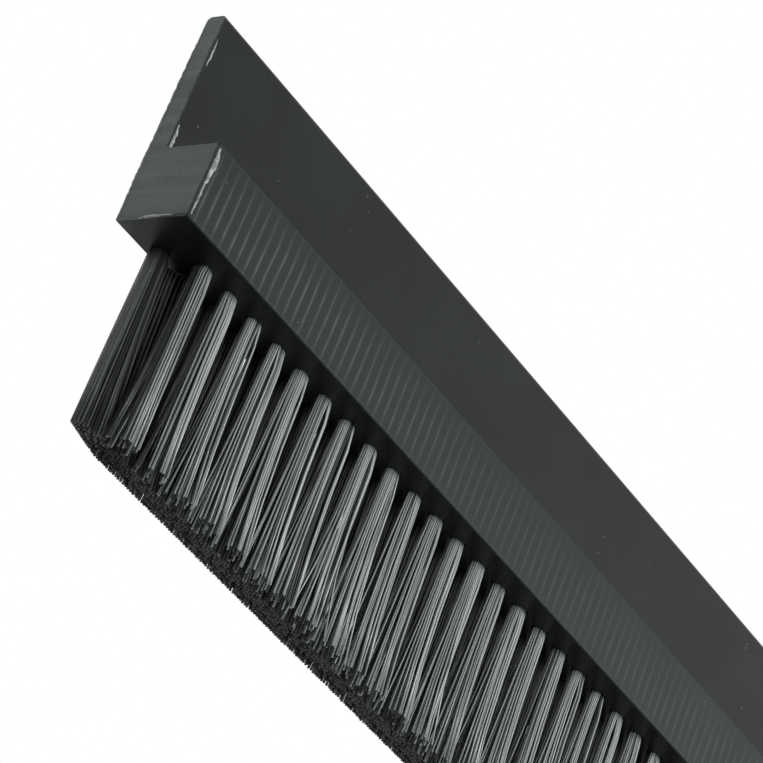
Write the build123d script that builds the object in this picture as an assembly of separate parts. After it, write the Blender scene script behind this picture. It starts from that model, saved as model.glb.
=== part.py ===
"""Brush seal strip: a one-piece plastic carrier with two staggered rows of bristle tufts.

Frame: the origin is in the middle of the flat back face. +X runs along the strip, the front
faces -Y and +Z is up, so the bristles point down.
"""

from build123d import *

import os
from math import cos, radians, sin

# Carrier section
BLOCK_DEPTH = 19.0
BLOCK_HEIGHT = 18.0
FLANGE_DEPTH = 5.0
FLANGE_HEIGHT = 34.0
FLANGE_TOP_RADIUS = 1.2
BLOCK_EDGE_RADIUS = 0.6
INNER_CORNER_RADIUS = 0.8

# Tuft layout along the strip. Each margin is from the left sawn end to the row's first tuft
TUFT_PITCH = 9.0
FRONT_TUFTS = 27
BACK_TUFTS = FRONT_TUFTS + 1
FRONT_MARGIN = 17.0
BACK_MARGIN = 10.8

# Distance of each row in front of the back face
FRONT_ROW = 11.0
BACK_ROW = 3.6

# Blind tuft hole, drawn with flat sides because its tuft hides all of it
HOLE_RADIUS = 2.0
HOLE_SIDES = 12
HOLE_DEPTH = 9.0

# Tuft of filaments, folded over its anchor and trimmed flat. It fans out until it nearly meets
# its neighbours along the row, and the rows press each other flat
BRISTLE_LENGTH = 43.0
TUFT_ROOT_RADIUS = 1.9
TUFT_TIP_RADIUS = 4.4
TUFT_TIP_DEPTH = 6.6
RIDGES = 8
RIDGE_SHARE = 0.86
FOLD_CLEARANCE = 0.1
TURN_PER_TUFT = 47.0

# Flat wire anchor, driven across the fold so that its ends bite into the hole's wall
ANCHOR_LENGTH = 4.8
ANCHOR_THICKNESS = 0.5
ANCHOR_WIDTH = 2.0
ANCHOR_BELOW_FLOOR = 1.1
ANCHOR_SLOT_THICKNESS = 0.6
ANCHOR_GAP = 0.05

# Derived places
LENGTH = 2 * FRONT_MARGIN + (FRONT_TUFTS - 1) * TUFT_PITCH
TOP = (BLOCK_HEIGHT + FLANGE_HEIGHT) / 2
BOTTOM = -TOP
STEP = BOTTOM + BLOCK_HEIGHT
TIP = BOTTOM - BRISTLE_LENGTH
HOLE_FLOOR = BOTTOM + HOLE_DEPTH
ANCHOR_MIDDLE = HOLE_FLOOR - ANCHOR_BELOW_FLOOR - ANCHOR_WIDTH / 2


def row_places(margin, count, distance):
    """Centre of each tuft in a row, as points on the block's bottom face."""
    first = margin - LENGTH / 2
    return [(first + i * TUFT_PITCH, -distance) for i in range(count)]


def carrier_section():
    """Outline of the carrier, drawn on the YZ plane: a block with a flange flush with its back."""
    corners = [
        (0, BOTTOM),
        (-BLOCK_DEPTH, BOTTOM),
        (-BLOCK_DEPTH, STEP),
        (-FLANGE_DEPTH, STEP),
        (-FLANGE_DEPTH, TOP),
        (0, TOP),
    ]
    section = make_face(Polyline(corners, close=True))
    by_height = section.vertices().group_by(Axis.Y)
    section = fillet(by_height[-1], FLANGE_TOP_RADIUS)
    block_edges = section.vertices().group_by(Axis.Y)[0] + section.vertices().group_by(Axis.X)[0]
    section = fillet(ShapeList(set(block_edges)), BLOCK_EDGE_RADIUS)
    inner = section.vertices().sort_by_distance((-FLANGE_DEPTH, STEP))[0]
    return fillet(inner, INNER_CORNER_RADIUS)


def hole_tool(place):
    """Drilled hole with the narrow slot that its anchor cuts on the way in."""
    x, y = place
    hole = extrude(RegularPolygon(HOLE_RADIUS, HOLE_SIDES), amount=HOLE_DEPTH)
    slot_depth = HOLE_DEPTH - ANCHOR_BELOW_FLOOR + ANCHOR_GAP
    slot = Box(
        ANCHOR_LENGTH + 2 * ANCHOR_GAP,
        ANCHOR_SLOT_THICKNESS,
        slot_depth,
        align=(Align.CENTER, Align.CENTER, Align.MIN),
    )
    return Pos(x, y, BOTTOM) * (hole + slot)


def carrier(places):
    """Carrier strip, extruded from its section and drilled from below for the tufts."""
    bar = extrude(Plane.YZ * carrier_section(), amount=LENGTH / 2, both=True)
    return bar - [hole_tool(place) for place in places]


def ridged_ring(radius, height, turn):
    """Star-like outline of a bundle of filaments at one height."""
    points = []
    for k in range(2 * RIDGES):
        angle = radians(turn + k * 180 / RIDGES)
        reach = radius if k % 2 == 0 else radius * RIDGE_SHARE
        points.append((reach * cos(angle), reach * sin(angle)))
    return Pos(0, 0, height) * make_face(Polyline(points, close=True))


def flat_sided(solid):
    """The same solid with a plane for each of its straight-edged faces."""
    return Solid(Shell([Face(face.outer_wire()) for face in solid.faces()]))


def tuft(place, turn):
    """Tuft that fills its hole, leaves it straight down and fans out to its trimmed tip."""
    rings = [
        ridged_ring(TUFT_TIP_RADIUS, TIP, turn),
        ridged_ring(TUFT_ROOT_RADIUS, BOTTOM, turn),
        ridged_ring(TUFT_ROOT_RADIUS, HOLE_FLOOR - FOLD_CLEARANCE, turn),
    ]
    fan = flat_sided(loft(rings, ruled=True))
    bundle = fan & Box(3 * TUFT_TIP_RADIUS, TUFT_TIP_DEPTH, 3 * abs(TIP))
    passage = Box(
        2 * HOLE_RADIUS,
        ANCHOR_THICKNESS + 2 * ANCHOR_GAP,
        ANCHOR_WIDTH + 2 * ANCHOR_GAP,
    )
    x, y = place
    return Pos(x, y, 0) * (bundle - Pos(0, 0, ANCHOR_MIDDLE) * passage)


def anchor(place):
    """Flat wire anchor that lies across one hole, inside the tuft's fold."""
    x, y = place
    return Pos(x, y, ANCHOR_MIDDLE) * Box(ANCHOR_LENGTH, ANCHOR_THICKNESS, ANCHOR_WIDTH)


def build():
    """All nodes by name."""
    rows = {
        "front": row_places(FRONT_MARGIN, FRONT_TUFTS, FRONT_ROW),
        "back": row_places(BACK_MARGIN, BACK_TUFTS, BACK_ROW),
    }
    nodes = {"carrier_strip": carrier(rows["front"] + rows["back"])}
    for row, places in rows.items():
        for i, place in enumerate(places):
            nodes[f"{row}_tuft_{i + 1:02d}"] = tuft(place, i * TURN_PER_TUFT)
        nodes[f"{row}_anchors"] = Compound(children=[anchor(place) for place in places])
    return nodes


os.makedirs("parts", exist_ok=True)
for name, shape in build().items():
    export_step(shape, f"parts/{name}.step")
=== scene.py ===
# Dresses the brush seal strip: planed black carrier, sawn ends and tufts of single filaments

import math
import random
from typing import NamedTuple

import bmesh
import bpy
from bpy.props import FloatProperty, FloatVectorProperty, IntProperty, PointerProperty
from bpy.types import Operator, Panel, PropertyGroup
from mathutils import Euler, Matrix, Vector, noise


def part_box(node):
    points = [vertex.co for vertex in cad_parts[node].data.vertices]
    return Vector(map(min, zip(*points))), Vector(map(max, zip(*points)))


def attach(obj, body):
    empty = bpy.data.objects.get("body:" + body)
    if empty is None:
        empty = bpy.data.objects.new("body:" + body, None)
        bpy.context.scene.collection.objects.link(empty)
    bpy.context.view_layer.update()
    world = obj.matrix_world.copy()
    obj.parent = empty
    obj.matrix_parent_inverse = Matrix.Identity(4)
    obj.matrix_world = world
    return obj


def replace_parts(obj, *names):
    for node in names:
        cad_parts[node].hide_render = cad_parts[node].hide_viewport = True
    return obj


bl_info = {
    "name": "Brush seal strip",
    "version": (1, 0, 0),
    "blender": (4, 5, 0),
    "location": "View3D > Sidebar > Brush strip",
    "description": "Finishes a brush seal strip around its packed frame",
    "category": "Object",
}

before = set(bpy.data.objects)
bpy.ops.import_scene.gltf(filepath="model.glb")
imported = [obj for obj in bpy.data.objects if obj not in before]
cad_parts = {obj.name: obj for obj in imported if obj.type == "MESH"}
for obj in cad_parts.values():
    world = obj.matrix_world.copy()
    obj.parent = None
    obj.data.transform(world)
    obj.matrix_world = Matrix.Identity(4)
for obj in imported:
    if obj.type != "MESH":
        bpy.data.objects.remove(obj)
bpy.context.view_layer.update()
MM = 0.001

# The carrier's planes, read from the frame
CARRIER_LOW, CARRIER_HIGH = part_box("carrier_strip")
LEFT_END = CARRIER_LOW.x
RIGHT_END = CARRIER_HIGH.x
BLOCK_FRONT = CARRIER_LOW.y
BLOCK_BOTTOM = CARRIER_LOW.z
FLANGE_TOP = CARRIER_HIGH.z
TUFT_NODES = sorted(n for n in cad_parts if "_tuft_" in n)
TIP_LEVEL = min(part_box(n)[0].z for n in TUFT_NODES)

# The section's two steps and the rounding of the block's edges, in the frame's metres
BLOCK_HEIGHT = 18 * MM
BLOCK_TOP = BLOCK_BOTTOM + BLOCK_HEIGHT
FLANGE_FRONT = -5 * MM
EDGE_RADIUS = 0.6 * MM

# How single tufts depart from the rest: bulge widens one under its hole, to the left and to the
# right, lean shifts its tips along the strip, tone is how pale it is, on the back tufts painted
# light and shade for how lit each stands, and unruly is the share of its filaments that cross
# their neighbours
HABITS = {
    "back_tuft_01": {"bulge": (0.15, 0.6), "lean": 0.6 * MM, "tone": 0.26},
    "back_tuft_02": {"bulge": (2.5, 0.2), "lean": -0.3 * MM, "tone": 0.08},
    "back_tuft_28": {"bulge": (0.15, 0.15), "tone": 0.34},
    "front_tuft_01": {"bulge": (0.5, 0.0), "lean": -1.8 * MM},
    "front_tuft_07": {"unruly": 0.2},
    "front_tuft_08": {"unruly": 0.3},
    "front_tuft_09": {"unruly": 0.2},
}


class StripCarrierSettings(PropertyGroup):
    """Finish of the planed plastic carrier."""

    face_colour: FloatVectorProperty(
        name="Face colour",
        description="Black plastic of the flange and the block",
        subtype="COLOR",
        default=(0.0050, 0.0064, 0.0062),
    )
    mark_spacing: FloatProperty(
        name="Cutter mark spacing",
        description="Distance between two cutter marks on the block's front",
        default=2.9 * MM,
        unit="LENGTH",
    )
    saw_spacing: FloatProperty(
        name="Saw mark spacing",
        description="Distance between two saw marks on the sawn ends",
        default=1.3 * MM,
        unit="LENGTH",
    )
    burr_thickness: FloatProperty(
        name="Burr thickness",
        description="How far the saw's burr stands up from a face",
        default=0.16 * MM,
        unit="LENGTH",
    )


class StripTuftSettings(PropertyGroup):
    """Filaments of the tufts."""

    filament_diameter: FloatProperty(
        name="Filament diameter",
        description="Thickness of one drawn filament",
        default=0.41 * MM,
        unit="LENGTH",
    )
    filament_pitch: FloatProperty(
        name="Filament pitch",
        description="Distance between neighbouring filaments in a hole",
        default=0.5 * MM,
        unit="LENGTH",
    )
    root_radius: FloatProperty(
        name="Root radius",
        description="Radius of a tuft where it leaves its hole",
        default=1.9 * MM,
        unit="LENGTH",
    )
    fan_half_width: FloatProperty(
        name="Fan half width",
        description="How far a back tuft's tips reach along the strip, either way",
        default=4.7 * MM,
        unit="LENGTH",
    )
    front_half_width: FloatProperty(
        name="Front row half width",
        description="The same for the front row's tufts, which keep apart almost to their tips",
        default=3.9 * MM,
        unit="LENGTH",
    )
    fan_half_depth: FloatProperty(
        name="Fan half depth",
        description="How far a tuft's tips reach across the strip, either way",
        default=3.3 * MM,
        unit="LENGTH",
    )
    mat_columns: IntProperty(
        name="Mat columns",
        description="Columns of tips in a back tuft's part of the mat",
        default=11,
    )
    seed: IntProperty(
        name="Seed",
        description="Start of the random draws that lay the filaments",
        default=7,
    )


class StripStageSettings(PropertyGroup):
    """Camera, floor and light."""

    camera_place: FloatVectorProperty(
        name="Camera place",
        description="Where the camera stands",
        subtype="TRANSLATION",
        unit="LENGTH",
        default=(-0.54639, -0.48334, -0.37265),
    )
    camera_turn: FloatVectorProperty(
        name="Camera turn",
        description="The camera's Euler angles",
        subtype="EULER",
        unit="ROTATION",
        default=(math.radians(119.835), math.radians(-19.4435), math.radians(-56.743)),
    )
    lens: FloatProperty(
        name="Lens",
        description="Focal length in millimetres on a 36 mm sensor",
        default=172.85,
    )
    floor_drop: FloatProperty(
        name="Floor drop",
        description="How far the floor lies under the bristle tips",
        default=1.05,
        unit="LENGTH",
    )
    key_power: FloatProperty(
        name="Key power",
        description="Power of the lamp in front of the strip, on its right",
        default=24.0,
        unit="POWER",
    )
    left_share: FloatProperty(
        name="Left lamp share",
        description="Power of the lamp on the front left, as a share of the key lamp's",
        default=0.7,
        subtype="FACTOR",
    )
    back_power: FloatProperty(
        name="Back power",
        description="Power of the weak lamp behind the strip",
        default=7.0,
        unit="POWER",
    )
    surround_strength: FloatProperty(
        name="Surround strength",
        description="How strongly the surround lights the strip. It looks white whatever this is",
        default=0.3,
    )


def colour(hex_text):
    """Linear RGBA of an sRGB hex colour."""
    parts = [int(hex_text[i : i + 2], 16) / 255 for i in (0, 2, 4)]
    linear = [p / 12.92 if p <= 0.04045 else ((p + 0.055) / 1.055) ** 2.4 for p in parts]
    return (*linear, 1.0)


def brightened(rgb, factor):
    """Linear RGBA of a linear colour, times the factor."""
    return (*(part * factor for part in rgb), 1.0)


class NodeBench:
    """The emptied node tree of a material or a world, with the one function that adds a node."""

    def __init__(self, owner):
        owner.use_nodes = True
        self.owner = owner
        self.tree = owner.node_tree
        self.tree.nodes.clear()

    def add(self, kind, inputs=(), stops=(), **settings):
        """A shader node: inputs are values or linked outputs, in order or by name, stops are a
        colour ramp's (place, grey) pairs, and settings are the node's own.
        """
        node = self.tree.nodes.new("ShaderNode" + kind)
        for key, value in settings.items():
            setattr(node, key, value)
        for key, value in inputs.items() if isinstance(inputs, dict) else enumerate(inputs):
            if isinstance(value, bpy.types.NodeSocket):
                self.tree.links.new(value, node.inputs[key])
            else:
                node.inputs[key].default_value = value
        if stops:
            elements = node.color_ramp.elements
            while len(elements) < len(stops):
                elements.new(0.5)
            for element, (place, grey) in zip(elements, stops):
                element.position = place
                element.color = (grey, grey, grey, 1)
        return node.outputs


# Patterns, in features to the metre, from their number to the millimetre
CLOUDING = 0.06 / MM
MARK_WANDER = 0.09 / MM
MARK_PATCHES = 0.16 / MM
RIM_SHADOW_WAVER = 0.32 / MM
DUST = 0.42 / MM
DUST_PATCHES = 0.7 / MM
BURR_PATCHES = 0.9 / MM
FINE_GRAIN = 1.5 / MM
DRAWN_STREAKS = 2.6 / MM
ROLLED_LINES = 5.0 / MM

# Scale of the coordinates along streaks, which draws a pattern out, on plastic and on steel
STREAK = 0.06
ROLLED_STREAK = 0.05

# Index of refraction of polypropylene
POLYPROPYLENE_IOR = 1.49


def layered(add, base, layers):
    """Colours over a base one. A layer is (where it shows, how strongly, its colour)."""
    for where, strength, over in layers:
        if strength != 1.0:
            where = add("Math", (where, strength), operation="MULTIPLY")[0]
        # The Mix node's colour sockets go by number
        base = add("Mix", {0: where, 6: base, 7: over}, data_type="RGBA")[2]
    return base


def oval(add, place, middle, radii):
    """Squared distance from an oval's middle, 1 at its rim. An axis of radius None is left out."""
    scale = [0.0 if radius is None else 1 / radius for radius in radii]
    shift = [-centre * part for centre, part in zip(middle, scale)]
    offset = add("Mapping", {"Vector": place, "Location": shift, "Scale": scale})["Vector"]
    return add("VectorMath", (offset, offset), operation="DOT_PRODUCT")["Value"]


def cutter_marks(add, place, x, z, wander, spacing):
    """Straight pale lines across the block: fainter in patches, at its edges and to the right."""
    # The added metre only sets where the marks begin
    shifted = add("Math", (wander, 0.7 * MM, x), operation="MULTIPLY_ADD")[0]
    shifted = add("Math", (shifted, 1.0), operation="ADD")[0]
    phase = add("Math", (shifted, spacing), operation="DIVIDE")[0]
    phase = add("Math", (phase,), operation="FRACT")[0]
    stops = ((0.0, 0.0), (0.3, 0.06), (0.5, 1.0), (0.62, 0.06), (1.0, 0.0))
    mark = add("ValToRGB", (phase,), stops)[0]

    height = add("Math", (z, BLOCK_BOTTOM), operation="SUBTRACT")[0]
    height = add("Math", (height, 1 / BLOCK_HEIGHT), operation="MULTIPLY")[0]
    stops = ((0.02, 0.3), (0.2, 1.0), (0.6, 0.85), (0.85, 0.35), (0.98, 0.1))
    upward = add("ValToRGB", (height,), stops)[0]

    length = add("Math", (x, LEFT_END), operation="SUBTRACT")[0]
    length = add("Math", (length, RIGHT_END - LEFT_END), operation="DIVIDE")[0]
    along = add("ValToRGB", (length,), ((0.1, 0.9), (0.25, 0.7), (0.42, 0.4), (1.0, 0.4)))[0]

    patches = add("TexNoise", {"Vector": place, "Scale": MARK_PATCHES, "Detail": 3.0})["Fac"]
    patches = add("ValToRGB", (patches,), ((0.3, 0.4), (0.7, 1.0)))[0]
    for share in (upward, patches, along):
        mark = add("Math", (mark, share), operation="MULTIPLY")[0]
    return mark


def saw_streaks(add, place, spacing):
    """Soft uneven streaks that the saw left across the thickness of the end."""
    across = add("Mapping", {"Vector": place, "Scale": (1.0, STREAK, 1.0)})["Vector"]
    # The noise's finer layers bring its streaks to the spacing
    streaks = {"Vector": across, "Scale": 0.45 / spacing, "Detail": 4.0}
    streaks = add("TexNoise", streaks)["Fac"]
    return add("ValToRGB", (streaks,), ((0.3, 0.0), (0.7, 1.0)))[0]


def torn_pits(add, place):
    """Small dark pits where the saw tore the end, most of them in one cluster."""
    cluster = oval(add, place, (0, -10.2 * MM, -16.3 * MM), (None, 3.2 * MM, 3.4 * MM))
    near = add("ValToRGB", (cluster,), ((0.2, 0.06), (1.0, 0.0)))[0]
    pits = add("TexNoise", {"Vector": place, "Scale": FINE_GRAIN, "Detail": 1.0})["Fac"]
    pits = add("Math", (pits, near), operation="ADD")[0]
    return add("ValToRGB", (pits,), ((0.66, 0.0), (0.73, 1.0)))[0]


def rim_shadow(add, place, y, z):
    """Painted shadow: a dark wavering line just inside the end's front edges, where a groove lies
    in the lip's shade, and a dark dip at its bottom edge, in the underside's shadow.
    """
    wavering = add("TexNoise", {"Vector": place, "Scale": RIM_SHADOW_WAVER, "Detail": 2.0})["Fac"]
    wavering = add("Math", (wavering, 0.5), operation="SUBTRACT")[0]
    wavering = add("Math", (wavering, 0.9 * MM), operation="MULTIPLY")[0]
    wavering_y = add("Math", (y, wavering), operation="ADD")[0]
    block_rim = add("Math", (wavering_y, BLOCK_FRONT + 0.6 * MM), operation="LESS_THAN")[0]
    flange_rim = add("Math", (wavering_y, FLANGE_FRONT + 0.45 * MM), operation="LESS_THAN")[0]
    flange = add("Math", (z, BLOCK_TOP + 0.3 * MM), operation="GREATER_THAN")[0]
    flange_rim = add("Math", (flange_rim, flange), operation="MULTIPLY")[0]

    # The painted shadow at the bottom edge reaches up to 0.9 mm higher towards the front
    shadow_dip = add("Math", (-10.5 * MM, y), operation="SUBTRACT")[0]
    shadow_dip = add("Math", (shadow_dip, 3.0 * MM), operation="DIVIDE", use_clamp=True)[0]
    shadow_dip = add("Math", (shadow_dip, 0.9 * MM), operation="MULTIPLY")[0]
    wavering_z = add("Math", (z, wavering), operation="ADD")[0]
    wavering_z = add("Math", (wavering_z, shadow_dip), operation="SUBTRACT")[0]
    bottom_rim = add("Math", (wavering_z, BLOCK_BOTTOM), operation="LESS_THAN")[0]
    rim = add("Math", (block_rim, flange_rim), operation="MAXIMUM")[0]
    return add("Math", (rim, bottom_rim), operation="MAXIMUM")[0]


def dust_specks(add, place):
    """A few specks of pale dust."""
    speck = add("TexVoronoi", {"Vector": place, "Scale": DUST})["Distance"]
    speck = add("Math", (speck, 0.09), operation="LESS_THAN")[0]
    rare = add("TexNoise", {"Vector": place, "Scale": DUST_PATCHES, "Detail": 0.0})["Fac"]
    rare = add("Math", (rare, 0.7), operation="GREATER_THAN")[0]
    return add("Math", (speck, rare), operation="MULTIPLY")[0]


def corner_reflection(add, place, z, wander):
    """Painted reflection: a paler patch of the underside, at the corner by the left end and the
    back, where the white surround shows in its gloss.
    """
    corner = oval(add, place, (LEFT_END, 0, 0), (5.5 * MM, 5.0 * MM, None))
    uneven = add("Math", (wander, 0.5), operation="SUBTRACT")[0]
    corner = add("Math", (uneven, 0.8, corner), operation="MULTIPLY_ADD")[0]
    reflection_patch = add("ValToRGB", (corner,), ((0.0, 0.8), (0.45, 0.55), (1.0, 0.0)))[0]
    low = add("Math", (z, BLOCK_BOTTOM + 0.55 * MM), operation="LESS_THAN")[0]
    return add("Math", (reflection_patch, low), operation="MULTIPLY")[0]


def planed_black_polypropylene(settings):
    """Black polypropylene: smooth flange, planed block with cutter marks, paler sawn ends."""
    bench = NodeBench(bpy.data.materials.new("planed_black_polypropylene"))
    add = bench.add
    place = add("TexCoord")["Object"]
    x, y, z = add("SeparateXYZ", (place,))
    wander = add("TexNoise", {"Vector": place, "Scale": MARK_WANDER, "Detail": 1.0})["Fac"]
    cloud = add("TexNoise", {"Vector": place, "Scale": CLOUDING, "Detail": 4.0})["Fac"]
    grain = add("TexNoise", {"Vector": place, "Scale": FINE_GRAIN, "Detail": 3.0})["Fac"]

    # Where each surface is: the sawn ends, the block's planed front, its underside and its
    # rounded front edges
    from_middle = add("Math", (x,), operation="ABSOLUTE")[0]
    sawn = add("Math", (from_middle, RIGHT_END - 0.05 * MM), operation="GREATER_THAN")[0]
    planed = add("Math", (y, BLOCK_FRONT + 0.25 * MM), operation="LESS_THAN")[0]
    under = add("Math", (z, BLOCK_BOTTOM + 0.05 * MM), operation="LESS_THAN")[0]
    rounded = add("Math", (z, BLOCK_BOTTOM + BLOCK_HEIGHT / 2), operation="SUBTRACT")[0]
    rounded = add("Math", (rounded,), operation="ABSOLUTE")[0]
    flat = BLOCK_HEIGHT / 2 - EDGE_RADIUS + 0.02 * MM
    rounded = add("Math", (rounded, flat), operation="GREATER_THAN")[0]
    front = add("Math", (y, BLOCK_FRONT + EDGE_RADIUS), operation="LESS_THAN")[0]
    rounded = add("Math", (rounded, front), operation="MULTIPLY")[0]
    mark = cutter_marks(add, place, x, z, wander, settings.mark_spacing)
    mark = add("Math", (mark, planed), operation="MULTIPLY")[0]
    saw = saw_streaks(add, place, settings.saw_spacing)
    unsawn = add("Math", (1.0, sawn), operation="SUBTRACT")[0]
    # Painted reflection of the white surround on the underside's back corner
    reflection_patch = corner_reflection(add, place, z, wander)
    reflection_patch = add("Math", (reflection_patch, unsawn), operation="MULTIPLY")[0]

    # The ends: scraped grey with darker pits and a painted shadow along the rim
    pits, rim = torn_pits(add, place), rim_shadow(add, place, y, z)
    layers = (
        (saw, 1.0, colour("5a625f")),
        (pits, 0.7, colour("222524")),
        # Painted shadow along the end's front edges and at its bottom edge
        (rim, 1.0, colour("0c0d0d")),
    )
    scraped = layered(add, colour("424946"), layers)

    # Charcoal with soft clouding, paler where planed and on the marks, then dust, ends and a
    # painted reflection on the underside's corner
    face = settings.face_colour
    clouded = add("ValToRGB", (cloud,), ((0.3, 0.0), (0.7, 1.0)))[0]
    layers = (
        (clouded, 1.0, brightened(face, 1.35)),
        (planed, 0.8, brightened(face, 2.1)),
        (mark, 0.55, colour("5c6261")),
        (dust_specks(add, place), 0.22, colour("8d9391")),
        (sawn, 1.0, scraped),
        # Painted reflection on the underside's corner
        (reflection_patch, 1.0, colour("3c4241")),
    )
    base = layered(add, brightened(face, 1.0), layers)

    # Relief: a satin grain everywhere, the marks on the block and the saw's grooves on the ends
    relief = add("Math", (grain, 0.25, mark), operation="MULTIPLY_ADD")[0]
    relief = add("Math", (saw, sawn, relief), operation="MULTIPLY_ADD")[0]
    relief = {"Height": relief, "Strength": 0.3, "Distance": 0.05 * MM}

    # Gloss: satin, and duller on the ends, the underside and the rounded front edges
    rough = add("Math", (cloud, 0.06, 0.2), operation="MULTIPLY_ADD")[0]
    for surface, duller in ((sawn, 0.3), (planed, 0.03), (under, 0.18), (rounded, 0.4)):
        rough = add("Math", (surface, duller, rough), operation="MULTIPLY_ADD")[0]
    shader = {
        "Base Color": base,
        "Roughness": rough,
        "IOR": POLYPROPYLENE_IOR,
        "Specular IOR Level": 0.17,
        "Normal": add("Bump", relief)["Normal"],
    }
    add("OutputMaterial", add("BsdfPrincipled", shader))
    return bench.owner


def drawn_black_filament():
    """Drawn polypropylene filament: near black, with a silky shine that runs along its length. Its
    tone attribute paints light and shade: pale grey for lit filaments, near black for shaded ones.
    """
    bench = NodeBench(bpy.data.materials.new("drawn_black_filament"))
    add = bench.add
    tone = add("Attribute", attribute_name="tone")["Fac"]
    place = add("TexCoord")["Object"]
    place = add("Mapping", {"Vector": place, "Scale": (1.0, 1.0, STREAK)})["Vector"]
    streaks = add("TexNoise", {"Vector": place, "Scale": DRAWN_STREAKS, "Detail": 2.0})["Fac"]
    dark = add("ValToRGB", (streaks,), ((0.4, 0.0), (0.75, 0.35)))[0]
    # Painted light and shade: the tone mixes from near black for shaded filaments to pale grey for
    # lit ones
    layers = ((tone, 1.0, colour("868c8a")), (dark, 1.0, colour("0b0c0c")))
    shader = {
        "Base Color": layered(add, colour("101212"), layers),
        "Roughness": add("Math", (streaks, 0.14, 0.4), operation="MULTIPLY_ADD")[0],
        "IOR": POLYPROPYLENE_IOR,
        # The shine follows the tone, so the shaded filaments are painted duller too
        "Specular IOR Level": add("Math", (tone, 0.75, 0.1), operation="MULTIPLY_ADD")[0],
    }
    add("OutputMaterial", add("BsdfPrincipled", shader))
    return bench.owner


def stretched_plastic_burr(name, dull, pale):
    """Plastic smeared by the saw: paler than the face, because stretching whitens it. The paler of
    the two, on the front and bottom edges, is partly a painted highlight where the lip catches the
    light.
    """
    bench = NodeBench(bpy.data.materials.new(name))
    add = bench.add
    place = add("TexCoord")["Object"]
    patch = add("TexNoise", {"Vector": place, "Scale": BURR_PATCHES, "Detail": 3.0})["Fac"]
    whitened = add("ValToRGB", (patch,), ((0.35, 0.0), (0.65, 1.0)))[0]
    relief = {"Height": patch, "Strength": 0.4, "Distance": 0.05 * MM}
    shader = {
        "Base Color": layered(add, colour(dull), ((whitened, 1.0, colour(pale)),)),
        "Roughness": 0.42,
        "IOR": POLYPROPYLENE_IOR,
        "Normal": add("Bump", relief)["Normal"],
    }
    add("OutputMaterial", add("BsdfPrincipled", shader))
    return bench.owner


def flat_steel_wire():
    """Plain drawn steel wire, rolled flat, with fine lines along its length."""
    bench = NodeBench(bpy.data.materials.new("flat_steel_wire"))
    add = bench.add
    place = add("TexCoord")["Object"]
    place = add("Mapping", {"Vector": place, "Scale": (ROLLED_STREAK, 1.0, 1.0)})["Vector"]
    lines = add("TexNoise", {"Vector": place, "Scale": ROLLED_LINES, "Detail": 2.0})["Fac"]
    shader = {
        "Base Color": layered(add, colour("8f8f8c"), ((lines, 1.0, colour("b5b4b0")),)),
        "Metallic": 1.0,
        "Roughness": add("Math", (lines, 0.2, 0.25), operation="MULTIPLY_ADD")[0],
    }
    add("OutputMaterial", add("BsdfPrincipled", shader))
    return bench.owner


def give_material(obj, material):
    """This material and no other."""
    obj.data.materials.clear()
    obj.data.materials.append(material)


def new_piece(name, bm, material):
    """A mesh object of the strip, which rides on its one body."""
    mesh = bpy.data.meshes.new(name)
    bm.to_mesh(mesh)
    bm.free()
    obj = bpy.data.objects.new(name, mesh)
    bpy.context.scene.collection.objects.link(obj)
    give_material(obj, material)
    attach(obj, "root")
    return obj


def rod_mesh(shares, sides):
    """Straight rod of radius 1 along -Z, closed at both ends, with a ring at each share."""
    bm = bmesh.new()
    bmesh.ops.create_cone(
        bm, cap_ends=True, segments=sides, radius1=1, radius2=1, depth=shares[-1] - shares[0],
        matrix=Matrix.Translation((0, 0, -(shares[0] + shares[-1]) / 2)),
    )
    for share in shares[1:-1]:
        geometry = bm.verts[:] + bm.edges[:] + bm.faces[:]
        bmesh.ops.bisect_plane(bm, geom=geometry, plane_co=(0, 0, -share), plane_no=(0, 0, 1))
    bmesh.ops.recalc_face_normals(bm, faces=bm.faces[:])
    for face in bm.faces:
        face.smooth = len(face.verts) == 4
    mesh = bpy.data.meshes.new("rod")
    bm.to_mesh(mesh)
    bm.free()
    return mesh


# Where a filament has its rings, as a share of its free length. Below 0 it is inside its hole
RING_SHARES = (-0.11, 0.0, 0.03, 0.12, 0.4, 0.7, 1.0)
FILAMENT_SIDES = 6

# Shares of the free length within which a bulge is full, and a parting and the back row's tone,
# which is painted shade nearer the holes
BULGE_RISE = 0.03
PARTING_RISE = 0.12

# The tips stay so far inside the strip's ends, at least so far in front of the wall behind it,
# and clear of the mat's corner by the left end, which is cut off at a slope
LEFT_TIP_LIMIT = LEFT_END + 7.4 * MM
RIGHT_TIP_LIMIT = RIGHT_END - 6.9 * MM
WALL_CLEARANCE = 1.2 * MM
CORNER_END = LEFT_END + 20 * MM
CORNER_SLOPE = 0.25

# The anchor's fold leaves a front tuft's face nearly flat where it leaves its hole: the outermost
# filaments reach so far forward at most, and the others stay behind them by a share
FLAT_FRONT = 1.15 * MM
INNER_FRONT_SHARE = 0.55

# Tones of the shaded filaments and of the lit ones, painted shade and painted light, each drawn at
# random within its range
SHADED_TONES = (0.0, 0.25)
LIT_TONES = (0.6, 1.0)

# Share of its tone that a back filament keeps where it leaves its hole, painted shade under the
# block
PAINTED_MOUTH_SHADE = 0.1

# The groups that a tuft's filaments hold together in, in its unit disc: the reach of the
# outermost ones, their pitch, and the spread of their places
GROUP_REACH = 0.85
GROUP_PITCH = 0.68
GROUP_SPREAD = 0.1

# A parting: the way in which its filaments move, in degrees from +X, the share of the tuft's
# radius at which it begins, its width in millimetres, and how far the other filaments give way
PARTING_TURN = (-70, 5)
PARTING_START = (0.1, 0.75)
PARTING_WIDTH = (0.35, 1.15)
GIVING_WAY = -0.15

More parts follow.
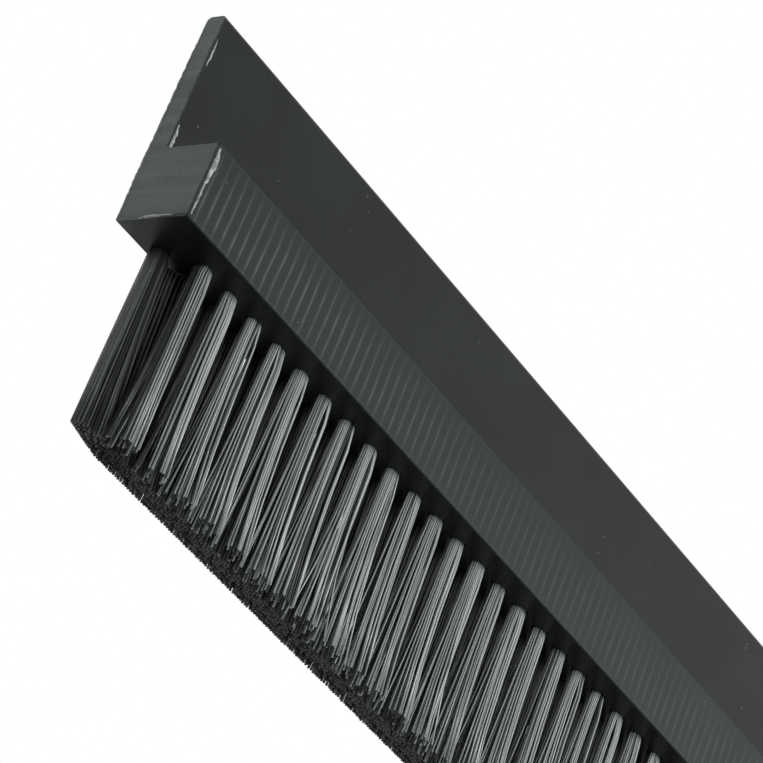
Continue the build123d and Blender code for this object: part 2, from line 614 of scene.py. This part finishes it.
# Spreads in millimetres: of a tuft's lean across the strip, of a filament's root, of its tip
# across the strip, of its bend, and of an unruly tip along the strip. The last is the most that
# a filament is short of the others
LEAN_ACROSS = 0.12
ROOT_SPREAD = 0.03
TIP_ACROSS = 0.07
BEND_SPREAD = 0.13
UNRULY_SPREAD = 3.0
SHORTEST_BY = 0.12

# The back row leans forward a little, which leaves its back clear of the wall
BACK_LEAN = -0.7 * MM

# Usual share of unruly filaments, and how much longer the front filaments stay upright
USUAL_UNRULY = 0.03
FRONT_UPRIGHT = 0.5

# From which share of a tuft's radius a filament is an outer one, and up to which it shows
OUTER_SHARE = 0.95
SHOWING_SHARE = 0.2


class RowStyle(NamedTuple):
    """How a row's tufts are laid. Pairs are ranges to draw from, except the dark shares."""

    # Shares of the settings' filament pitch and radius
    pitch_share: float
    radius_share: float
    # Spread of the tufts' lean and of single tips, along the strip, in millimetres
    lean_spread: float
    tip_spread: float
    # How far the filaments keep to their groups, from 0 to 1
    holding: tuple
    # Shares of the gap at a parting and of a filament's bend
    gap_share: float
    bend_share: float
    # Power of a filament's way from its hole to its tip. The higher, the longer it stays upright
    upright: tuple
    # Shares of filaments painted in shade on the face that shows, and in the rest of the tuft
    shaded_shares: tuple
    # Share of its filaments' tone that the row keeps: on the back row it is painted shade, as that
    # row stands in the front row's shadow
    tone: float


FRONT_ROW = RowStyle(
    pitch_share=1.1,
    radius_share=1.0,
    lean_spread=0.42,
    tip_spread=0.08,
    holding=(0.3, 0.65),
    gap_share=1.0,
    bend_share=1.0,
    upright=(1.5, 2.0),
    shaded_shares=(0.12, 0.65),
    tone=1.0,
)
BACK_ROW = RowStyle(
    pitch_share=0.8,
    radius_share=1.42,
    lean_spread=0.1,
    tip_spread=0.04,
    holding=(0.15, 0.3),
    gap_share=0.3,
    bend_share=0.6,
    upright=(1.25, 1.6),
    shaded_shares=(0.28, 0.28),
    # Painted shade over the whole back row
    tone=0.2,
)


class Filament(NamedTuple):
    """One filament's course from its hole to its tip, around its tuft's middle, and its tone."""

    root: Vector
    tip: Vector
    upright: float
    bend: Vector
    bulge: Vector
    parted: Vector
    trim: float
    tone: float

    def place(self, out):
        """Where it is at that share of its free length, along and across the strip."""
        place = self.root.lerp(self.tip, out ** self.upright)
        place += self.bend * math.sin(math.pi * out)
        place += self.bulge * min(out / BULGE_RISE, 1.0) * (1 - out)
        # A parting opens soon under the hole and closes again by half towards the tip
        parting = 0.6 * min(out / PARTING_RISE, 1.0) + 0.4 * out
        return place + self.parted * parting * (1 - 0.5 * out)


def ringed_places(reach, pitch, packing=0.93, smallest=0.3):
    """Places evenly spaced on packed rings, the outermost of radius reach. Both shares are of the
    pitch: the distance between two rings, and the radius that a ring is larger than.
    """
    places = []
    ring = reach
    while ring > smallest * pitch:
        count = round(2 * math.pi * ring / pitch)
        for number in range(count):
            angle = 2 * math.pi * number / count + ring / pitch
            places.append(Vector((ring * math.cos(angle), ring * math.sin(angle))))
        ring -= packing * pitch
    return places


def oval_fan(units, settings, narrowing=0.28, squareness=0.15):
    """Tips of a front tuft for its filaments' places in a disc: an oval, narrower in front."""
    tips = []
    for unit in units:
        forward = min(max(0.5 - unit.y, 0.0), 1.0)
        half_width = settings.front_half_width * (1 - narrowing * forward)
        square = (unit.length / max(abs(unit.x), abs(unit.y))) ** squareness
        depth = math.sin(min(max(unit.y * square, -1.0), 1.0) * math.pi / 2)
        tips.append(Vector((unit.x * square * half_width, depth * settings.fan_half_depth)))
    return tips


def even_fan(units, settings, stagger=(0.5, -0.5, 0.0), inset=0.4 * MM):
    """Tips of a back tuft: an even mat, filled by columns in the order of those places."""
    columns = settings.mat_columns
    half_depth = settings.fan_half_depth - inset
    by_x = sorted(range(len(units)), key=lambda number: units[number].x)
    tips = [None] * len(units)
    for column in range(columns):
        members = by_x[column * len(units) // columns : (column + 1) * len(units) // columns]
        members.sort(key=lambda number: -units[number].y)
        for row, number in enumerate(members):
            x = (2 * column + 1 + stagger[row % len(stagger)]) / columns - 1
            y = 1 - 2 * row / (len(members) - 1)
            if y > 0:
                # The rows close up towards the mat's back edge
                y = 1 - (1 - y) ** 2
            tips[number] = Vector((x * settings.fan_half_width, y * half_depth))
    return tips


def wobble(draw, along, across):
    """A small random step along and across the strip."""
    return Vector((draw.gauss(0, along), draw.gauss(0, across)))


def kept_clear(x, y):
    """A tip's place, moved clear of the strip's ends, the wall and the cut-off corner."""
    x = min(max(x, LEFT_TIP_LIMIT), RIGHT_TIP_LIMIT)
    return x, min(y, -WALL_CLEARANCE - CORNER_SLOPE * max(0.0, CORNER_END - x))


def laid_filaments(node, middle, settings, draw):
    """A tuft's filaments. They hold together in groups, which often part on one side."""
    habit = HABITS.get(node, {})
    in_back = node.startswith("back")
    style = BACK_ROW if in_back else FRONT_ROW
    reach = settings.root_radius - settings.filament_diameter / 2
    lean = wobble(draw, style.lean_spread, LEAN_ACROSS) * MM
    lean.x += habit.get("lean", 0.0)
    if in_back:
        lean.y = BACK_LEAN
    left_bulge, right_bulge = habit.get("bulge", (0.0, 0.0))
    unruly = habit.get("unruly", USUAL_UNRULY)

    spots = ringed_places(GROUP_REACH, GROUP_PITCH)
    groups = [spot + wobble(draw, GROUP_SPREAD, GROUP_SPREAD) for spot in spots]
    holding = draw.uniform(*style.holding)
    side = Matrix.Rotation(math.radians(draw.uniform(*PARTING_TURN)), 2) @ Vector((1, 0))
    parting = draw.uniform(*PARTING_START)
    gap = draw.uniform(*PARTING_WIDTH) * style.gap_share * MM

    roots = ringed_places(reach, settings.filament_pitch * style.pitch_share)
    units = [root / reach for root in roots]
    for number, unit in enumerate(units):
        group = min(groups, key=lambda spot: (spot - unit).length)
        units[number] = unit.lerp(group, holding)
    tips = even_fan(units, settings) if in_back else oval_fan(units, settings)

    filaments = []
    for root, tip in zip(roots, tips):
        outer = root.length > OUTER_SHARE * reach
        root += wobble(draw, ROOT_SPREAD, ROOT_SPREAD) * MM
        shows = outer and root.y < SHOWING_SHARE * reach
        # Painted light and shade: a shaded filament gets a dark tone, a lit one a pale tone
        dark = draw.random() < style.shaded_shares[0 if shows else 1]
        tone = draw.uniform(*(SHADED_TONES if dark else LIT_TONES)) * habit.get("tone", style.tone)
        tip += lean + wobble(draw, style.tip_spread, TIP_ACROSS) * MM
        if draw.random() < unruly:
            tip.x += draw.gauss(0, UNRULY_SPREAD) * MM
        x, y = kept_clear(middle.x + tip.x, middle.y + tip.y)
        tip = Vector((x - middle.x, y - middle.y))
        in_front = not in_back and root.y < 0
        if in_front and outer:
            root.y = -FLAT_FRONT * math.tanh(-root.y / FLAT_FRONT)
        elif in_front:
            root.y *= INNER_FRONT_SHARE
        parted = side * (gap if root.dot(side) > parting * reach else GIVING_WAY * gap)
        bulge = Vector((root.x * (left_bulge if root.x < 0 else right_bulge), 0))
        bend = wobble(draw, BEND_SPREAD, BEND_SPREAD) * style.bend_share * MM
        upright = draw.uniform(*style.upright) + (FRONT_UPRIGHT if in_front else 0.0)
        trim = draw.uniform(0, SHORTEST_BY) * MM
        filaments.append(Filament(root, tip, upright, bend, bulge, parted, trim, tone))
    return filaments


def tuft_piece(node, blank, settings, material, draw):
    """A tuft of single filaments in place of its solid: straight in the hole, then fanned out."""
    low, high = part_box(node)
    middle = Vector(((low.x + high.x) / 2, (low.y + high.y) / 2))
    length = BLOCK_BOTTOM - TIP_LEVEL
    in_back = node.startswith("back")
    style = BACK_ROW if in_back else FRONT_ROW
    radius = settings.filament_diameter / 2 * style.radius_share

    bm = bmesh.new()
    tone_layer = bm.verts.layers.float.new("tone")
    done = 0
    for filament in laid_filaments(node, middle, settings, draw):
        bm.from_mesh(blank)
        bm.verts.ensure_lookup_table()
        for vert in bm.verts[done:]:
            share = -vert.co.z
            out = min(max(share, 0.0), 1.0)
            place = filament.place(out)
            # Only the last ring is trimmed, not quite level with the others
            trim = filament.trim if share > 0.99 else 0.0
            vert.co = (
                middle.x + place.x + vert.co.x * radius,
                middle.y + place.y + vert.co.y * radius,
                BLOCK_BOTTOM - share * length + trim,
            )
            # Painted shade: the back row is darker where it leaves its holes, deep in the block's
            # shadow
            shade = min(PAINTED_MOUTH_SHADE + out / PARTING_RISE, 1.0) if in_back else 1.0
            vert[tone_layer] = filament.tone * shade
        done = len(bm.verts)
    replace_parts(new_piece("filaments_" + node, bm, material), node)


# A burr's lip: its steps, the lengths over which it is coarsely and finely uneven, the shares by
# which that changes its width and its stand, the least share left of its width, and how far it
# strays from its line
BURR_STEP = 0.35 * MM
BURR_SIDES = 8
COARSE_LENGTH = 1.1 * MM
FINE_LENGTH = 0.5 * MM
COARSE_CHANGE = 0.3
FINE_CHANGE = 0.12
STAND_CHANGE = 0.4
LEAST_WIDTH = 0.25
BURR_STRAY = 0.12 * MM

# Start of the random draws that make the burrs uneven
BURR_SEED = 11

# Where the front edges' burrs lie along the strip
BURR_INSET = LEFT_END + 0.3 * MM


class Burr(NamedTuple):
    """Lip of torn plastic from start to end. It spreads along out and stands up along up."""

    start: tuple
    end: tuple
    out: tuple
    up: tuple
    # Half widths at even steps from start to end, in millimetres
    half_widths: tuple
    material: str = "stretched_plastic_burr"


BURRS = {
    "burr_block_front": Burr(
        (BURR_INSET, BLOCK_FRONT, BLOCK_TOP - 1.0 * MM),
        (BURR_INSET, BLOCK_FRONT, BLOCK_BOTTOM + 0.8 * MM),
        (1, 0, 0),
        (0, -1, 0),
        (0.3, 0.6, 0.8, 0.75, 0.5, 0.34, 0.3, 0.3, 0.26, 0.2),
    ),
    "burr_flange_low": Burr(
        (BURR_INSET, FLANGE_FRONT, BLOCK_TOP + 6.0 * MM),
        (BURR_INSET, FLANGE_FRONT, BLOCK_TOP + 0.4 * MM),
        (1, 0, 0),
        (0, -1, 0),
        (0.2, 0.36, 0.5, 0.5, 0.4),
    ),
    "burr_flange_high": Burr(
        (BURR_INSET, FLANGE_FRONT, 20 * MM),
        (BURR_INSET, FLANGE_FRONT, 13 * MM),
        (1, 0, 0),
        (0, -1, 0),
        (0.08, 0.22, 0.3, 0.24, 0.08),
    ),
    "burr_block_bottom": Burr(
        (LEFT_END, -6.2 * MM, BLOCK_BOTTOM + 0.1 * MM),
        (LEFT_END, -15.0 * MM, BLOCK_BOTTOM + 0.45 * MM),
        (0, 0, 1),
        (-1, 0, 0),
        (0.16, 0.4, 0.42, 0.34, 0.24, 0.16),
    ),
    "burr_back_edge": Burr(
        (LEFT_END, -0.35 * MM, BLOCK_BOTTOM + 1.5 * MM),
        (LEFT_END, -0.35 * MM, FLANGE_TOP - 3 * MM),
        (0, 1, 0),
        (-1, 0, 0),
        (0.1, 0.24, 0.3, 0.22, 0.26, 0.2, 0.22, 0.18, 0.1),
        "torn_plastic_edge",
    ),
}


def value_between(values, share):
    """The value at that share of the way through evenly spaced values."""
    slot = min(share, 0.9999) * (len(values) - 1)
    first = int(slot)
    return values[first] + (values[first + 1] - values[first]) * (slot - first)


def burr_piece(name, burr, thickness, draw, material):
    """The mesh of one burr: a thin rod whose width and stand are uneven along its length."""
    start, end, out, up = (Vector(part) for part in burr[:4])
    half_widths = [width * MM for width in burr.half_widths]
    length = (end - start).length
    steps = max(12, int(length / BURR_STEP))
    blank = rod_mesh([step / steps for step in range(steps + 1)], BURR_SIDES)
    bm = bmesh.new()
    bm.from_mesh(blank)
    bpy.data.meshes.remove(blank)
    phase = draw.uniform(0, 50)
    for vert in bm.verts:
        along = -vert.co.z
        half_width = value_between(half_widths, along)
        coarse = noise.noise(Vector((along * length / COARSE_LENGTH + phase, 0.3, 0.0)))
        fine = noise.noise(Vector((along * length / FINE_LENGTH + phase, 4.1, 0.0)))
        half_width *= max(LEAST_WIDTH, 1 + COARSE_CHANGE * coarse + FINE_CHANGE * fine)
        stand = min(thickness, half_width) * (1 + STAND_CHANGE * fine)
        spread = out * (half_width * (1 + vert.co.x) + BURR_STRAY * coarse)
        vert.co = start.lerp(end, along) + spread + up * (stand * vert.co.y)
    bmesh.ops.recalc_face_normals(bm, faces=bm.faces[:])
    new_piece(name, bm, material)


class STRIP_OT_carrier(Operator):
    """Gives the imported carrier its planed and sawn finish."""

    bl_idname = "brush_strip.carrier"
    bl_label = "Finish the carrier"

    def execute(self, context):
        settings = context.scene.strip_carrier
        give_material(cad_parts["carrier_strip"], planed_black_polypropylene(settings))
        return {"FINISHED"}


class STRIP_OT_burrs(Operator):
    """Adds the saw's burrs along the edges of the left end."""

    bl_idname = "brush_strip.burrs"
    bl_label = "Add the saw burrs"

    def execute(self, context):
        thickness = context.scene.strip_carrier.burr_thickness
        materials = {
            name: stretched_plastic_burr(name, dull, pale)
            for name, dull, pale in (
                # Stretching whitens these burrs, and their pale colour is partly a painted
                # highlight too
                ("stretched_plastic_burr", "4c514f", "868c89"),
                ("torn_plastic_edge", "3c403d", "5d625e"),
            )
        }
        draw = random.Random(BURR_SEED)
        for name, burr in BURRS.items():
            burr_piece(name, burr, thickness, draw, materials[burr.material])
        return {"FINISHED"}


class STRIP_OT_tufts(Operator):
    """Lays each tuft's filaments in place of its solid."""

    bl_idname = "brush_strip.tufts"
    bl_label = "Lay the tufts"

    def execute(self, context):
        settings = context.scene.strip_tufts
        material = drawn_black_filament()
        blank = rod_mesh(RING_SHARES, FILAMENT_SIDES)
        for number, node in enumerate(TUFT_NODES):
            draw = random.Random(settings.seed * 1000 + number)
            tuft_piece(node, blank, settings, material, draw)
        bpy.data.meshes.remove(blank)
        return {"FINISHED"}


class STRIP_OT_anchors(Operator):
    """Gives the wire anchors inside the carrier their steel."""

    bl_idname = "brush_strip.anchors"
    bl_label = "Finish the anchors"

    def execute(self, context):
        steel = flat_steel_wire()
        for node in ("front_anchors", "back_anchors"):
            give_material(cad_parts[node], steel)
        return {"FINISHED"}


WHITE = (1, 1, 1, 1)


def soft_lamp(name, place, target, size, power):
    """White square area lamp that faces a point."""
    light = bpy.data.lights.new(name, "AREA")
    light.shape = "SQUARE"
    light.size = size
    light.energy = power
    lamp = bpy.data.objects.new(name, light)
    lamp.location = place
    lamp.rotation_euler = (Vector(target) - Vector(place)).to_track_quat("-Z", "Y").to_euler()
    bpy.context.scene.collection.objects.link(lamp)


def seen_directly(add):
    """1 for rays that show the background, straight or through gloss or glass, and 0 for light."""
    path = add("LightPath")
    rays = (path["Is Camera Ray"], path["Is Glossy Ray"])
    seen = add("Math", rays, operation="MAXIMUM")[0]
    return add("Math", (seen, path["Is Transmission Ray"]), operation="MAXIMUM")[0]


def photo_camera(settings):
    """Camera at the photograph's place and angle."""
    lens = bpy.data.cameras.new("photo_camera")
    lens.sensor_width = 36.0
    lens.lens = settings.lens
    lens.clip_end = 20.0
    camera = bpy.data.objects.new("photo_camera", lens)
    camera.location = settings.camera_place
    camera.rotation_euler = Euler(settings.camera_turn)
    bpy.context.scene.collection.objects.link(camera)
    bpy.context.scene.camera = camera


def pale_floor(level, reach=6.0, glow=0.6):
    """Pale matt floor. To the camera it is partly white by itself, by glow."""
    bm = bmesh.new()
    bmesh.ops.create_grid(bm, x_segments=1, y_segments=1, size=reach)
    bmesh.ops.translate(bm, vec=(0, 0, level), verts=bm.verts[:])
    mesh = bpy.data.meshes.new("floor")
    bm.to_mesh(mesh)
    bm.free()
    floor = bpy.data.objects.new("floor", mesh)
    bpy.context.scene.collection.objects.link(floor)
    bench = NodeBench(bpy.data.materials.new("pale_matt_floor"))
    add = bench.add
    seen = add("Math", (seen_directly(add), glow), operation="MULTIPLY")[0]
    matt = add("BsdfDiffuse", {"Color": colour("e4e4e2")})[0]
    bright = add("Emission", {"Color": WHITE, "Strength": 1.0})[0]
    add("OutputMaterial", add("MixShader", (seen, matt, bright)))
    give_material(floor, bench.owner)


def white_surround(strength):
    """Surround that lights the strip softly and looks white."""
    world = bpy.data.worlds.new("white_surround")
    bpy.context.scene.world = world
    add = NodeBench(world).add
    soft = add("Background", {"Color": colour("e8edf0"), "Strength": strength})[0]
    white = add("Background", {"Color": WHITE, "Strength": 1.0})[0]
    add("OutputWorld", add("MixShader", (seen_directly(add), soft, white)))


class STRIP_OT_stage(Operator):
    """Sets the camera at the photograph's angle, the floor, the lamps and the white surround."""

    bl_idname = "brush_strip.stage"
    bl_label = "Set the stage"

    def execute(self, context):
        settings = context.scene.strip_stage
        photo_camera(settings)
        pale_floor(TIP_LEVEL - settings.floor_drop)
        white_surround(settings.surround_strength)
        key_power = settings.key_power
        left_power = settings.left_share * key_power
        soft_lamp("key_lamp", (0.93, -1.17, 0.07), (0, 0, -0.03), 0.4, key_power)
        soft_lamp("left_lamp", (-0.54, -1.40, 0.07), (0, 0, -0.03), 0.4, left_power)
        soft_lamp("back_lamp", (-0.6, 1.4, 0.8), (0, 0, 0), 1.2, settings.back_power)
        context.scene.view_settings.view_transform = "Standard"
        return {"FINISHED"}


class STRIP_PT_panel(Panel):
    """Lists the strip's sizes and the steps that dress it."""

    bl_label = "Brush seal strip"
    bl_idname = "STRIP_PT_panel"
    bl_space_type = "VIEW_3D"
    bl_region_type = "UI"
    bl_category = "Brush strip"

    def draw(self, context):
        layout = self.layout
        for group in GROUPS:
            settings = getattr(context.scene, group)
            box = layout.box()
            for name in settings.bl_rna.properties.keys():
                if name not in ("rna_type", "name"):
                    box.prop(settings, name)
        for operator in OPERATORS:
            layout.operator(operator.bl_idname)


GROUPS = {
    "strip_carrier": StripCarrierSettings,
    "strip_tufts": StripTuftSettings,
    "strip_stage": StripStageSettings,
}
OPERATORS = (STRIP_OT_carrier, STRIP_OT_burrs, STRIP_OT_tufts, STRIP_OT_anchors, STRIP_OT_stage)


def register():
    """Registers the settings, the operators and the panel."""
    for name, group in GROUPS.items():
        bpy.utils.register_class(group)
        setattr(bpy.types.Scene, name, PointerProperty(type=group))
    for operator in OPERATORS:
        bpy.utils.register_class(operator)
    bpy.utils.register_class(STRIP_PT_panel)


def unregister():
    """Takes everything out again, in the opposite order."""
    bpy.utils.unregister_class(STRIP_PT_panel)
    for operator in reversed(OPERATORS):
        bpy.utils.unregister_class(operator)
    for name, group in reversed(GROUPS.items()):
        delattr(bpy.types.Scene, name)
        bpy.utils.unregister_class(group)


def main():
    """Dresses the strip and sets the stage."""
    register()
    bpy.ops.brush_strip.carrier()
    bpy.ops.brush_strip.burrs()
    bpy.ops.brush_strip.tufts()
    bpy.ops.brush_strip.anchors()
    bpy.ops.brush_strip.stage()
    bpy.context.view_layer.update()


if __name__ == "__main__":
    main()
